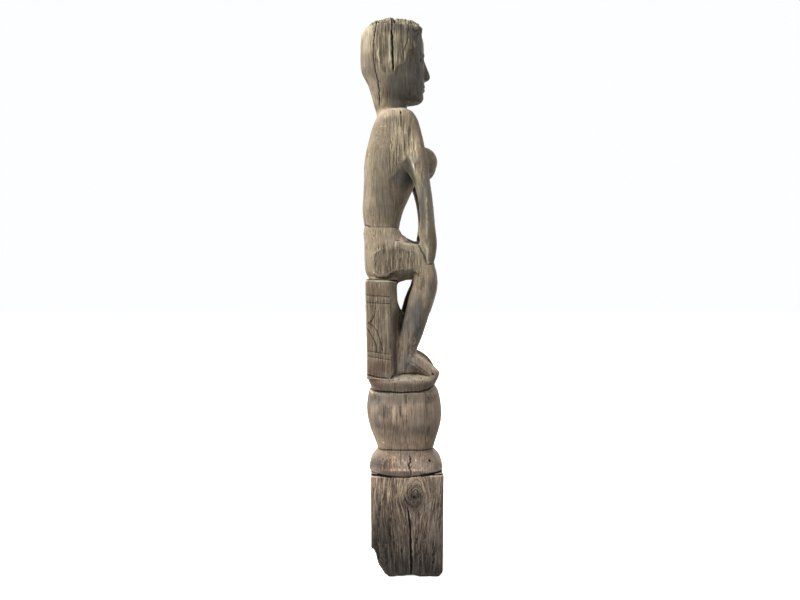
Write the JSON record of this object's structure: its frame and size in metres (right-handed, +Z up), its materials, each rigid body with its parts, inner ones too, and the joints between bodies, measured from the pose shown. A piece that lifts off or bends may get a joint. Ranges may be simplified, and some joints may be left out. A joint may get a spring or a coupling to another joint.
{
  "type": "carved guardian pole",
  "caption": "Weathered wooden guardian pole: a seated figure, hands on knees, on a block seat, above a footrest, a pot-shaped waist, a collar and a squared post.",
  "frame": {"origin": "bottom centre of the bounding box, at the underside of the post", "axes": "+Z up along the pole, -Y the way the figure faces, -X the figure's right side"},
  "size_m": [0.1641, 0.1801, 1.188],
  "materials": {
    "weathered_wood": "bare, weathered, grey-brown with bleached edges"
  },
  "bodies": {
    "root": {"guardian_pole": "weathered_wood"}
  },
  "joints": []
}
